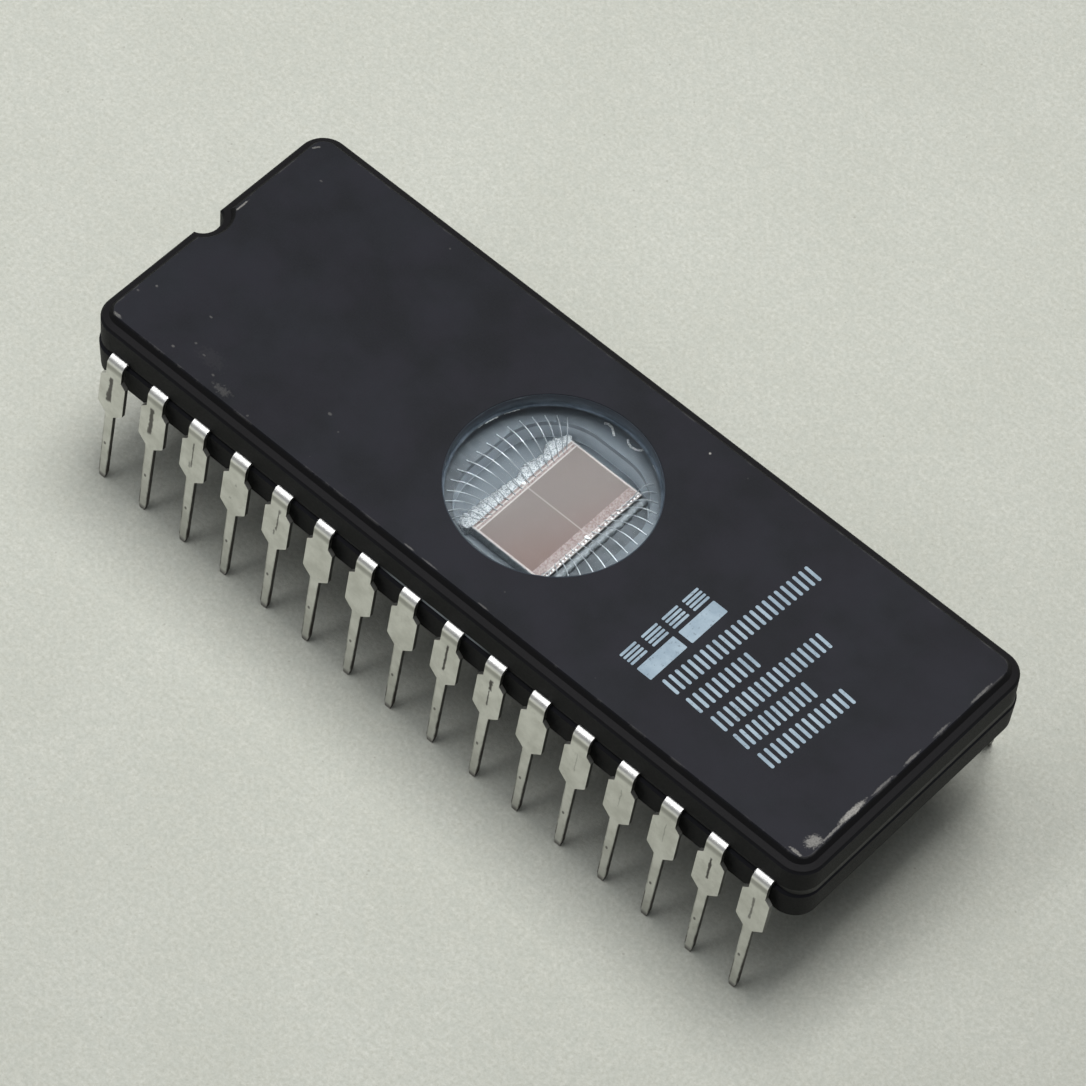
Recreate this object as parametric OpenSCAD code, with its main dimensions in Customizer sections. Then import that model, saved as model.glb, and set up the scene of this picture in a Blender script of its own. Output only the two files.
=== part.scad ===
// Windowed ceramic memory package with two rows of leads, standing on its lead tips.
// Origin: middle of the plane of the lead tips. +X runs along the body, away from the notch.
// The near row of leads is at -Y and is numbered 1, 2, 3 ... from the notch.
// The far row at +Y is numbered on from the other end, back to the notch.

/* [Leads] */
// Leads in one row
leads_per_row = 16; // [12:2:20]
// Distance from one lead to the next
pitch = 2.54; // [2.4:0.02:2.8]
// Outer face to outer face of the two rows, at the bends
row_span = 15.7; // [15.2:0.1:16.4]
// Thickness of the lead strip
lead_t = 0.2; // [0.2:0.01:0.3]
// Width of the lead where it leaves the body and bends down
neck_w = 0.92; // [0.8:0.02:1.3]
// Width of the part that rests on the board
wide_w = 1.5; // [1.36:0.02:1.8]
// Width of the pin that goes through the board, at its upper end
pin_w = 0.5; // [0.4:0.02:0.6]
// Width of the pin just above its tip
pin_low_w = 0.44; // [0.38:0.02:0.6]
// Height of the pin, from its tip to the slope above it
pin_h = 4.24; // [3:0.02:4.6]
// Height of the slope from the pin up to the wide part
flare_h = 0.32; // [0.16:0.02:0.5]
// Height of the wide part
wide_h = 1.88; // [1.2:0.02:2.4]
// How much the wide part's lower corners are cut back
wide_corner = 0.12; // [0.04:0.02:0.2]
// Height of the slope from the wide part up to the neck
shoulder_h = 0.25; // [0.15:0.05:0.4]
// Height of the neck, from the slope to the top face of the lead strip
neck_h = 1.05; // [0.9:0.05:1.6]
// Outer radius of the bend
bend_r = 0.45; // [0.4:0.05:0.7]
// Angle by which a row stands out from the vertical
splay = 6.7; // [0:0.1:10]
// How much each edge of the pin narrows at the tip
tip_in = 0.08; // [0.04:0.01:0.14]
// Height of the narrowed tip
tip_h = 0.35; // [0.2:0.05:0.6]

/* [Ceramic body] */
// From the last lead's centre line to the end of the body
end_margin = 2.0; // [1.7:0.1:3]
// Gap between the body's side and the down-turned leads
lead_gap = 0.11; // [0.04:0.01:0.2]
// Radius of the body's upright corners
corner_r = 1.25; // [0.9:0.05:2]
// Thickness of the base
base_t = 1.77; // [1.4:0.01:2.2]
// How far the base's side leans in from its top edge to its underside
base_draft = 0.07; // [0.02:0.01:0.14]
// Bevel round the base's underside and round its top edge
base_bevel = 0.12; // [0.06:0.01:0.2]
// Thickness of the cap
cap_t = 1.73; // [1.6:0.02:2.2]
// How far the cap's side stands in from the base's side
cap_in = 0.05; // [0:0.01:0.15]
// From the cap's side in to the sharp edge of the raised top
plateau_in = 0.6; // [0.5:0.02:0.75]
// From the raised top down to where the cap's side wall begins
rim_drop = 0.48; // [0.4:0.02:0.6]
// From the side wall in to the foot of the steep step
ledge_in = 0.38; // [0.3:0.02:0.44]
// Height of the steep step below the raised top
step_h = 0.26; // [0.16:0.02:0.32]
// Radius of the index notch in the end of the body
notch_r = 0.88; // [0.6:0.02:1.1]
// How far outside the end of the body the notch has its centre
notch_out = 0.22; // [0:0.02:0.4]

/* [Sealing glass] */
// Glass between the base and the lead strip
glass_under = 0.07; // [0.05:0.01:0.12]
// Glass between the lead strip and the cap
glass_over = 0.08; // [0.05:0.01:0.12]
// Clearance between the glass's outer face and the start of the leads' bends
glass_clear = 0.01; // [0.01:0.01:0.1]
// How far the glass stands back from the ends of the base
glass_end_in = 0.06; // [0.05:0.01:0.15]

/* [Window] */
// Diameter of the glass window
window_d = 9.75; // [8:0.05:10]
// Thickness of the glass window
window_t = 1.2; // [1:0.02:1.3]
// Clearance between the window and its hole, on the radius
window_gap = 0.01; // [0.005:0.005:0.03]
// From the window's hole out to the walls of the hollow in the cap's underside
hollow_ledge = 0.82; // [0.5:0.02:1.2]
// Radius of the hollow's corners
hollow_r = 1.6; // [0.8:0.1:3]

/* [Cavity and chip] */
// Mean clearance between the chip and the ends of the cavity in the base
cavity_end_gap = 1.75; // [1.6:0.05:2.1]
// Mean clearance between the chip and the sides of the cavity
cavity_side_gap = 0.8; // [0.7:0.01:1]
// Radius of the cavity's corners
cavity_r = 3; // [2:0.1:3.1]
// Depth of the cavity
cavity_deep = 0.85; // [0.75:0.01:0.95]
// Thickness of the metal film on the cavity floor
film_t = 0.02; // [0.01:0.01:0.04]
// Gap between the film and the cavity wall
film_gap = 0.05; // [0.03:0.01:0.1]
// Length of the silicon chip, along the body
die_l = 4.2; // [3.6:0.05:4.6]
// Width of the silicon chip, across the body
die_w = 6.5; // [6:0.02:7]
// Thickness of the silicon chip
die_t = 0.45; // [0.4:0.01:0.5]
// How far off the cavity's middle the chip was set down, away from the notch
die_x = 0.2; // [-0.2:0.02:0.2]
// How far off the cavity's middle the chip was set down, towards the far row
die_y = 0.16; // [-0.2:0.02:0.2]
// Thickness of the attach layer under the chip
attach_t = 0.06; // [0.04:0.01:0.1]
// How far the attach layer spreads past the chip
attach_out = 0.32; // [0.2:0.02:0.4]
// Radius of the attach layer's corners
attach_corner = 0.8; // [0.6:0.05:1]
// How far the attach layer climbs up the chip's sides
attach_climb = 0.3; // [0.15:0.01:0.35]

/* [Lead frame fingers] */
// From the cavity's edge out to the finger tips
tip_gap = 0.12; // [0.08:0.02:0.2]
// Width of a finger at its tip
finger_tip_w = 0.24; // [0.18:0.01:0.28]
// Width of a finger where the fan tightens
finger_mid_w = 0.42; // [0.3:0.02:0.5]
// Width of a finger where it leaves the edge of the seal
finger_out_w = 0.8; // [0.6:0.02:1]
// Length of the straight stretch of each finger, in from the body's side
finger_straight = 1.1; // [0.9:0.05:1.4]
// From the cavity's edge to the tightening of the fan, along the body
fan_x = 5.4; // [4.8:0.1:6]
// From the cavity's edge to the tightening of the fan, across the body
fan_y = 1.2; // [0.9:0.05:1.4]

/* [Bond wires] */
// Thickness of a bond wire
wire_d = 0.05; // [0.04:0.01:0.07]
// Height of the wire's arch above the straight line between its ends
wire_arch = 0.34; // [0.15:0.01:0.38]
// Length of the flat foot at each end of a wire
wire_foot = 0.1; // [0.06:0.01:0.16]
// From the chip's edge to the bond pads
pad_in = 0.16; // [0.12:0.01:0.3]

/* [Hidden] */
$fn = 64;
half_leads = leads_per_row / 2;
lead_count = 2 * leads_per_row;
row_half = row_span / 2;
body_l = (leads_per_row - 1) * pitch + 2 * end_margin;
body_w = row_span - 2 * (lead_t + lead_gap);
cavity_l = die_l + 2 * cavity_end_gap;
cavity_w = die_w + 2 * cavity_side_gap;
hollow_w = window_d + 2 * (window_gap + hollow_ledge);

// Heights, from the lead tips up
lead_top = pin_h + flare_h + wide_h + shoulder_h + neck_h;
base_top = lead_top - lead_t - glass_under;
base_bottom = base_top - base_t;
cap_bottom = lead_top + glass_over;
cap_top = cap_bottom + cap_t;
window_bottom = cap_top - window_t;
cavity_floor = base_top - cavity_deep;
attach_bottom = cavity_floor + film_t;
die_bottom = attach_bottom + attach_t;
die_top = die_bottom + die_t;

// How far the sealing glass stands back from the base's sides, as a fine groove behind the leads
glass_in = max(0.05, bend_r - lead_t - lead_gap + glass_clear);

// Overshoot that keeps cutting shapes clear of the faces they cut
over = 1;
// Length of the stub between the finger and the bend
lap = 0.2;
// Angle from the body's long axis to the last finger tip, and how the tips crowd towards it
tip_sweep = 57;
tip_crowding = 1.3;
// Angles of the first and last finger where the fan tightens
fan_first = 5;
fan_last = 77;
// Share of the chip's width that holds the bond pads
pad_share = 0.88;
// Steps along the arch of a bond wire, and sides of the wire
arch_steps = 6;
wire_sides = 6;

CERAMIC = [0.19, 0.19, 0.21];
TIN = [0.69, 0.69, 0.65];
SEAL = [0.3, 0.31, 0.33];
CLEAR = [0.7, 0.76, 0.8, 0.35];
SILICON = [0.56, 0.52, 0.5];
SILVER = [0.8, 0.8, 0.8];
FILM = [0.45, 0.49, 0.52];

function lead_name(i) = str("lead_", i < 10 ? "0" : "", i);

// Place of a lead: its distance from the middle, and the two sides that it is mirrored to
function lead_in_row(i) = i <= leads_per_row ? i : lead_count + 1 - i;
function lead_x(i) = (lead_in_row(i) - (leads_per_row + 1) / 2) * pitch;
function lead_is_far(i) = i > leads_per_row;
// Rank of a lead in its quarter: 0 at the end of the body, half_leads - 1 at the middle
function lead_rank(i) = half_leads - 0.5 - abs(lead_x(i)) / pitch;

function unit(v) = v / norm(v);
function side_of(v) = [-v[1], v[0]];

// Share of the sweep that a rank has reached, with the ranks closer together at its end
function crowded(rank) = 1 - pow(1 - (rank + 0.5) / half_leads, tip_crowding);

// Point of a rounded rectangle's outline in the direction of an angle from its long axis
function rounded_hit(angle, a, b, r) =
    let (d = [cos(angle), sin(angle)], c = [a - r, b - r], along = d * c)
    a * tan(angle) <= c[1] ? [a, a * tan(angle)]
    : angle > 0 && b / tan(angle) <= c[0] ? [b / tan(angle), b]
    : (along + sqrt(along * along - c * c + r * r)) * d;

function tip_point(rank) =
    rounded_hit(tip_sweep * crowded(rank), cavity_l / 2 + tip_gap, cavity_w / 2 + tip_gap, cavity_r + tip_gap);
function fan_angle(rank) = fan_first + (fan_last - fan_first) * rank / (half_leads - 1);
function fan_point(rank) =
    [(cavity_l / 2 + fan_x) * cos(fan_angle(rank)), (cavity_w / 2 + fan_y) * sin(fan_angle(rank))];

// Centre line of a finger in the quarter with both coordinates positive
function finger_path(rank) = let (x = (half_leads - 0.5 - rank) * pitch) [
    [x, row_half - bend_r - lap / 2],
    [x, body_w / 2 - finger_straight],
    fan_point(rank),
    tip_point(rank)
];
FINGER_WIDTHS = [finger_out_w, finger_out_w, finger_mid_w, finger_tip_w];

// Offset of a path's point to one side, along the line that halves the corner there
function mitre(path, k) =
    let (last = len(path) - 1,
         before = unit(path[max(k, 1)] - path[max(k, 1) - 1]),
         after = unit(path[min(k, last - 1) + 1] - path[min(k, last - 1)]),
         middle = unit(before + after))
    side_of(middle) / (middle * after);

function strip_outline(path, widths) = concat(
    [for (k = [0 : len(path) - 1]) path[k] + mitre(path, k) * widths[k] / 2],
    [for (k = [len(path) - 1 : -1 : 0]) path[k] - mitre(path, k) * widths[k] / 2]
);

module rounded_rectangle(l, w, r) {
    square([l - 2 * r, w], center = true);
    square([l, w - 2 * r], center = true);
    for (x = [-1, 1], y = [-1, 1])
        translate([x * (l / 2 - r), y * (w / 2 - r)]) circle(r);
}

// Block with rounded upright corners. Each profile point gives how far the side stands in, and a height.
module profiled_block(l, w, r, profile) {
    low = profile[0][1];
    high = profile[len(profile) - 1][1];
    for (x = [-1, 1], y = [-1, 1])
        translate([x * (l / 2 - r), y * (w / 2 - r)])
            rotate_extrude()
                polygon(concat([[0, low]], [for (p = profile) [r - p[0], p[1]]], [[0, high]]));
    rotate([90, 0, 90])
        linear_extrude(l - 2 * r, center = true) section(w, profile);
    rotate([90, 0, 0])
        linear_extrude(w - 2 * r, center = true) section(l, profile);
}

module section(width, profile) {
    last = len(profile) - 1;
    polygon(concat(
        [for (p = profile) [width / 2 - p[0], p[1]]],
        [for (k = [last : -1 : 0]) [profile[k][0] - width / 2, profile[k][1]]]
    ));
}

// Profile of the cap's edge, from the seal up: side wall, rounded ledge, steep step, flat top
CAP_PROFILE = [
    [0, cap_bottom],
    [0, cap_top - rim_drop],
    [plateau_in - ledge_in - 0.12, cap_top - step_h - 0.1],
    [ledge_in, cap_top - step_h],
    [plateau_in, cap_top]
];

BASE_PROFILE = [
    [base_draft + base_bevel, base_bottom],
    [base_draft, base_bottom + base_bevel],
    [0, base_top - base_bevel],
    [base_bevel, base_top]
];

// Index notch: a half-round cut whose bevel follows the cap's edge
module notch_cut(profile) {
    last = len(profile) - 1;
    translate([-body_l / 2 - notch_out, 0, 0])
        rotate_extrude()
            polygon(concat(
                [[0, profile[0][1] - over], [notch_r + profile[0][0], profile[0][1] - over]],
                [for (p = profile) [notch_r + p[0], p[1]]],
                [[notch_r + profile[last][0], profile[last][1] + over], [0, profile[last][1] + over]]
            ));
}

module ceramic_base() {
    color(CERAMIC)
        difference() {
            profiled_block(body_l, body_w, corner_r, BASE_PROFILE);
            notch_cut(BASE_PROFILE);
            translate([0, 0, cavity_floor])
                linear_extrude(cavity_deep + over) rounded_rectangle(cavity_l, cavity_w, cavity_r);
        }
}

module ceramic_cap() {
    color(CERAMIC)
        difference() {
            profiled_block(body_l - 2 * cap_in, body_w - 2 * cap_in, corner_r, CAP_PROFILE);
            notch_cut(CAP_PROFILE);
            translate([0, 0, cap_bottom - over])
                cylinder(r = window_d / 2 + window_gap, h = cap_t + 2 * over);
            translate([0, 0, cap_bottom - over])
                linear_extrude(window_bottom - cap_bottom + over)
                    rounded_rectangle(hollow_w, hollow_w, hollow_r);
        }
}

module window_lens() {
    color(CLEAR)
        translate([0, 0, window_bottom]) cylinder(d = window_d, h = window_t);
}

// Outline of one lead's finger, as it lies in the seal
module finger_outline(i) {
    mirror([lead_x(i) < 0 ? 1 : 0, 0])
        mirror([0, lead_is_far(i) ? 0 : 1])
            polygon(strip_outline(finger_path(lead_rank(i)), FINGER_WIDTHS));
}

// Outline of one lead's flat part, its finger and stub together
module lead_in_seal(i) {
    finger_outline(i);
    mirror([0, lead_is_far(i) ? 0 : 1])
        translate([lead_x(i) - neck_w / 2, row_half - bend_r - lap]) square([neck_w, lap]);
}

module seal_outline() {
    difference() {
        rounded_rectangle(body_l - 2 * glass_end_in, body_w - 2 * glass_in, corner_r - glass_in);
        translate([-body_l / 2 - notch_out, 0]) circle(notch_r + glass_end_in);
    }
}

module seal_glass() {
    color(SEAL) {
        translate([0, 0, base_top])
            linear_extrude(glass_under)
                difference() {
                    seal_outline();
                    rounded_rectangle(cavity_l, cavity_w, cavity_r);
                }
        translate([0, 0, base_top + glass_under])
            linear_extrude(lead_t)
                difference() {
                    seal_outline();
                    rounded_rectangle(cavity_l, cavity_w, cavity_r);
                    for (i = [1 : lead_count]) lead_in_seal(i);
                }
        translate([0, 0, lead_top])
            linear_extrude(glass_over)
                difference() {
                    seal_outline();
                    rounded_rectangle(hollow_w, hollow_w, hollow_r);
                }
    }
}

module cavity_film() {
    color(FILM)
        translate([0, 0, cavity_floor])
            linear_extrude(film_t)
                rounded_rectangle(cavity_l - 2 * film_gap, cavity_w - 2 * film_gap, cavity_r - film_gap);
}

module die_attach() {
    color(SILVER)
        difference() {
            translate([die_x, die_y, 0])
                profiled_block(die_l + 2 * attach_out, die_w + 2 * attach_out, attach_corner, [
                    [0, attach_bottom],
                    [0.02, die_bottom],
                    [attach_out * 0.6, die_bottom + attach_climb * 0.35],
                    [attach_out - 0.03, die_bottom + attach_climb]
                ]);
            translate([die_x, die_y, die_bottom + (die_t + over) / 2])
                cube([die_l, die_w, die_t + over], center = true);
        }
}

module die() {
    color(SILICON)
        translate([die_x, die_y, die_bottom + die_t / 2]) cube([die_l, die_w, die_t], center = true);
}

// Side view of the bent part of a lead: stub, bend and leaning blade, outwards to the right.
// The blade is longer than it needs to be. The front view cuts it off at the board side.
module lead_side() {
    inner_r = bend_r - lead_t;
    blade_l = lead_top + over;
    translate([row_half - bend_r, lead_top - bend_r]) {
        translate([-lap, inner_r]) square([lap, lead_t]);
        intersection() {
            square(2 * bend_r);
            rotate(splay)
                intersection() {
                    difference() {
                        circle(bend_r);
                        circle(inner_r);
                    }
                    translate([-bend_r, 0]) square(2 * bend_r);
                }
        }
        rotate(splay) translate([inner_r, -blade_l]) square([lead_t, blade_l]);
    }
}

// Front view of a lead: tip, pin, slope, wide part, slope and neck
module lead_front() {
    low_wide = pin_h + flare_h;
    high_wide = low_wide + wide_h;
    half = [
        [pin_low_w / 2 - tip_in, 0],
        [pin_low_w / 2, tip_h],
        [pin_w / 2, pin_h],
        [wide_w / 2 - wide_corner, low_wide],
        [wide_w / 2, low_wide + wide_corner],
        [wide_w / 2, high_wide],
        [neck_w / 2, high_wide + shoulder_h],
        [neck_w / 2, lead_top + over]
    ];
    last = len(half) - 1;
    polygon(concat(half, [for (k = [last : -1 : 0]) [-half[k][0], half[k][1]]]));
}

module bent_lead() {
    intersection() {
        rotate([90, 0, 90]) linear_extrude(wide_w + over, center = true) lead_side();
        translate([0, row_half + 2 * over, 0])
            rotate([90, 0, 0]) linear_extrude(4 * over) lead_front();
    }
}

module lead(i) {
    color(TIN) {
        mirror([0, lead_is_far(i) ? 0 : 1, 0])
            translate([lead_x(i), 0, 0]) bent_lead();
        translate([0, 0, lead_top - lead_t]) linear_extrude(lead_t) finger_outline(i);
    }
}

// Wire with a flat foot at each end. Its ends are given on the faces that it is bonded to.
module bond_wire(from, to) {
    ahead = unit([to[0] - from[0], to[1] - from[1]]);
    beside = side_of(ahead);
    rise = wire_d / 2 * cos(180 / wire_sides);
    arch = [for (k = [0 : arch_steps]) let (s = k / arch_steps)
        from + s * (to - from) + [0, 0, 4 * wire_arch * s * (1 - s)]];
    foot = wire_foot * [ahead[0], ahead[1], 0];
    path = concat([from - foot], arch, [to + foot]);
    rings = len(path);
    points = [for (p = path, k = [0 : wire_sides - 1])
        let (a = 360 * k / wire_sides)
        p + [0, 0, rise] + wire_d / 2 * [beside[0] * cos(a), beside[1] * cos(a), sin(a)]];
    walls = [for (r = [0 : rings - 2], k = [0 : wire_sides - 1])
        let (n = (k + 1) % wire_sides)
        [r * wire_sides + k, r * wire_sides + n, (r + 1) * wire_sides + n, (r + 1) * wire_sides + k]];
    near_end = [for (k = [wire_sides - 1 : -1 : 0]) k];
    far_end = [for (k = [0 : wire_sides - 1]) (rings - 1) * wire_sides + k];
    polyhedron(points, concat([near_end], walls, [far_end]));
}

// All wires of one end of the body, in its two quarters. The end is -1 at the notch and 1 away from it.
module bond_wires(end) {
    color(SILVER)
        for (row = [-1, 1], rank = [0 : half_leads - 1]) {
            tip = tip_point(rank);
            outward = unit(fan_point(rank) - tip);
            landing = tip + outward * wire_foot;
            pad = [die_l / 2 - pad_in, pad_share * die_w / 2 * crowded(rank)];
            bond_wire(
                [end * pad[0] + die_x, row * pad[1] + die_y, die_top],
                [end * landing[0], row * landing[1], lead_top]);
        }
}

module bond_wires_notch_end() { bond_wires(-1); }
module bond_wires_plain_end() { bond_wires(1); }

ceramic_base();
ceramic_cap();
window_lens();
seal_glass();
cavity_film();
die_attach();
die();
bond_wires_notch_end();
bond_wires_plain_end();
for (i = [1 : lead_count])
    lead(i);
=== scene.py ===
"""Dresses a windowed ceramic memory chip that stands on its lead tips on pale paper.

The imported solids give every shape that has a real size. This script adds their finishes, the small
pieces that are printed, sputtered or melted onto them, the floor, the light and the camera. Lengths in
the classes are millimetres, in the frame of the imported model: X along the body away from the notch,
Y towards the far row of leads, Z up from the lead tips.
"""
import logging
import math
from dataclasses import dataclass, field
from enum import Enum
from typing import Iterable, Sequence, Union

import bmesh
import bpy
from mathutils import Matrix, Vector, noise


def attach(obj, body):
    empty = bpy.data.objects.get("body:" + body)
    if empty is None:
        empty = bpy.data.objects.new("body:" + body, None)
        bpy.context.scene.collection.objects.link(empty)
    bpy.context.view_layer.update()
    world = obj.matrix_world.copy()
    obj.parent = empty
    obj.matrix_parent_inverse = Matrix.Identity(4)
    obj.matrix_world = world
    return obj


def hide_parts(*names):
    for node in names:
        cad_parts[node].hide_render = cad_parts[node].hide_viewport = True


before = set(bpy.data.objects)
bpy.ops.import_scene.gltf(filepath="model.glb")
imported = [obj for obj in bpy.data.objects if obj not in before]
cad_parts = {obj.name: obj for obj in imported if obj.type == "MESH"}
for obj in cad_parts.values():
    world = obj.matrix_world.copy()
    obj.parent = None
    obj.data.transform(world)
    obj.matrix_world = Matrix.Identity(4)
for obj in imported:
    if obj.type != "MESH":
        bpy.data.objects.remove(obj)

log = logging.getLogger("memory_chip")
MM = 0.001
ROOT_BODY = "root"
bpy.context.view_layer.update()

Point2 = tuple[float, float]
Point3 = tuple[float, float, float]
Colour = tuple[float, float, float]
Socket = bpy.types.NodeSocket
Value = Union[bpy.types.NodeSocket, float, Colour]

BODY_TOP = 9.55
ORIGIN: Point3 = (0.0, 0.0, 0.0)


def srgb(red: int, green: int, blue: int) -> Colour:
    """Turns an 8-bit screen colour into linear light.

    Args:
        red: Red, 0 to 255.
        green: Green, 0 to 255.
        blue: Blue, 0 to 255.

    Returns:
        The same colour as three linear values from 0 to 1.
    """
    def one(value: int) -> float:
        """Turns one channel into linear light."""
        v = value / 255
        return v / 12.92 if v <= 0.04045 else ((v + 0.055) / 1.055) ** 2.4
    return one(red), one(green), one(blue)


class Slot(Enum):
    """Material slots of the part's record."""
    CERAMIC = "dark_ceramic"
    TIN = "tin_plate"
    SEAL = "seal_glass"
    WINDOW = "window_glass"
    SILICON = "silicon"
    SILVER = "silver_glass"
    WIRE = "bond_wire"
    FILM = "cavity_metal"


class Graph:
    """Adds and joins the nodes of one node tree."""

    def __init__(self, tree: bpy.types.NodeTree) -> None:
        """Keeps the tree that the nodes go into."""
        self.tree = tree

    def node(self, kind: str, **settings: object) -> bpy.types.Node:
        """Adds a node.

        Args:
            kind: The node's type name, without its ShaderNode prefix.
            **settings: Properties to set on the node.

        Returns:
            The new node.
        """
        made = self.tree.nodes.new("ShaderNode" + kind)
        for name, value in settings.items():
            setattr(made, name, value)
        return made

    def put(self, socket: Socket, value: Value) -> None:
        """Links an output to a socket, or sets the socket to a plain value.

        Args:
            socket: The input socket.
            value: An output socket, a number, or a tuple.
        """
        if isinstance(value, bpy.types.NodeSocket):
            self.tree.links.new(value, socket)
        elif isinstance(value, tuple) and len(value) == 3 and socket.type == "RGBA":
            socket.default_value = (*value, 1.0)
        else:
            socket.default_value = value

    def math(self, operation: str, first: Value, second: Value = 0.0, third: Value = 0.0) -> Socket:
        """Adds a Math node.

        Args:
            operation: Name of the operation.
            first: First value or socket.
            second: Second value or socket.
            third: Third value or socket, for the operations that have one.

        Returns:
            The node's output.
        """
        made = self.node("Math", operation=operation)
        for socket, value in zip(made.inputs, (first, second, third)):
            self.put(socket, value)
        return made.outputs[0]

    def chain(self, operation: str, values: Sequence[Value]) -> Socket:
        """Joins some values by one Math operation, from left to right.

        Args:
            operation: Name of the operation.
            values: Two or more values or sockets.

        Returns:
            The last node's output.
        """
        result = values[0]
        for value in values[1:]:
            result = self.math(operation, result, value)
        return result

    def times(self, *values: Value) -> Socket:
        """Multiplies values."""
        return self.chain("MULTIPLY", values)

    def plus(self, *values: Value) -> Socket:
        """Adds values."""
        return self.chain("ADD", values)

    def most(self, *values: Value) -> Socket:
        """Gives the greatest of some values."""
        return self.chain("MAXIMUM", values)

    def minus(self, first: Value, second: Value) -> Socket:
        """Subtracts the second value from the first."""
        return self.math("SUBTRACT", first, second)

    def size(self, value: Value) -> Socket:
        """Gives a value without its sign."""
        return self.math("ABSOLUTE", value)

    def vector(self, operation: str, first: Value, second: Value = ORIGIN, out: int = 0) -> Socket:
        """Adds a Vector Math node.

        Args:
            operation: Name of the operation.
            first: First vector or socket.
            second: Second vector or socket, or the factor of SCALE.
            out: Number of the output, 1 for the ones that give a length.

        Returns:
            The chosen output.
        """
        made = self.node("VectorMath", operation=operation)
        self.put(made.inputs[0], first)
        self.put(made.inputs["Scale" if operation == "SCALE" else 1], second)
        return made.outputs[out]

    def split(self, vector: Socket) -> tuple[Socket, Socket, Socket]:
        """Splits a vector into its parts.

        Args:
            vector: The vector's socket.

        Returns:
            Its X, Y and Z.
        """
        parts = self.node("SeparateXYZ")
        self.put(parts.inputs[0], vector)
        return parts.outputs["X"], parts.outputs["Y"], parts.outputs["Z"]

    def ramp(self, value: Value, low: float, high: float, start: float = 0.0, end: float = 1.0,
             smooth: bool = True) -> Socket:
        """Maps a range of values to another range, and holds it at both ends.

        Args:
            value: The value or socket.
            low: Value that gives start.
            high: Value that gives end.
            start: Result at low.
            end: Result at high.
            smooth: Whether the change eases in and out.

        Returns:
            The mapped value.
        """
        made = self.node("MapRange", interpolation_type="SMOOTHSTEP" if smooth else "LINEAR", clamp=True)
        labels = ("Value", "From Min", "From Max", "To Min", "To Max")
        for name, v in zip(labels, (value, low, high, start, end)):
            self.put(made.inputs[name], v)
        return made.outputs["Result"]

    def spread(self, value: Value, start: float, end: float) -> Socket:
        """Maps the range from 0 to 1 to another range."""
        return self.ramp(value, 0.0, 1.0, start, end)

    def mix(self, share: Value, first: Value, second: Value) -> Socket:
        """Mixes two colours.

        Args:
            share: Share of the second colour.
            first: First colour or socket.
            second: Second colour or socket.

        Returns:
            The mixed colour.
        """
        made = self.node("Mix", data_type="RGBA", blend_type="MIX", clamp_factor=True)
        self.put(made.inputs[0], share)
        self.put(made.inputs[6], first)
        self.put(made.inputs[7], second)
        return made.outputs[2]

    def tint(self, base: Value, colour: Value, mask: Value, share: float = 1.0) -> Socket:
        """Lays a colour over another one where a mask says.

        Args:
            base: The colour underneath.
            colour: The colour on top.
            mask: Where it lies, from 0 to 1.
            share: How much of it shows where the mask is 1.

        Returns:
            The mixed colour.
        """
        return self.mix(mask if share == 1.0 else self.times(mask, share), base, colour)

    def noise(self, place: Value, scale: Value, detail: float = 3.0, roughness: float = 0.55) -> Socket:
        """Adds a noise of about 0 to 1.

        Args:
            place: Coordinates in millimetres.
            scale: Lumps per millimetre.
            detail: Number of finer layers.
            roughness: Strength of the finer layers.

        Returns:
            The noise value.
        """
        made = self.node("TexNoise")
        for name, v in (("Vector", place), ("Scale", scale), ("Detail", detail), ("Roughness", roughness)):
            self.put(made.inputs[name], v)
        return made.outputs["Fac"]

    def millimetres(self) -> Socket:
        """Gives the place on the piece in millimetres of the model's frame."""
        return self.vector("SCALE", self.node("TexCoord").outputs["Object"], 1.0 / MM)


class EffectGroup:
    """A shader node group with named inputs and outputs."""

    def __init__(self, name: str, inputs: dict[str, Value], outputs: Sequence[str]) -> None:
        """Makes the group's sockets.

        Args:
            name: Name of the group.
            inputs: Input names, each with its default: a number, or a tuple for a vector.
            outputs: Names of the value outputs.
        """
        self.tree = bpy.data.node_groups.new(name, "ShaderNodeTree")
        for label, default in inputs.items():
            kind = "NodeSocketVector" if isinstance(default, tuple) else "NodeSocketFloat"
            socket = self.tree.interface.new_socket(name=label, in_out="INPUT", socket_type=kind)
            socket.default_value = default
        for label in outputs:
            self.tree.interface.new_socket(name=label, in_out="OUTPUT", socket_type="NodeSocketFloat")
        self.graph = Graph(self.tree)
        self.given = self.tree.nodes.new("NodeGroupInput").outputs
        self.sink = self.tree.nodes.new("NodeGroupOutput")

    def give(self, label: str, value: Socket) -> None:
        """Sends a value to one of the group's outputs."""
        self.graph.put(self.sink.inputs[label], value)

    def use(self, graph: Graph, **values: Value) -> bpy.types.Node:
        """Places the group in a tree.

        Args:
            graph: Graph of the tree.
            **values: Inputs by name, with _ for each space.

        Returns:
            The group node.
        """
        made = graph.node("Group")
        made.node_tree = self.tree
        for name, value in values.items():
            graph.put(made.inputs[name.replace("_", " ")], value)
        return made


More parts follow.
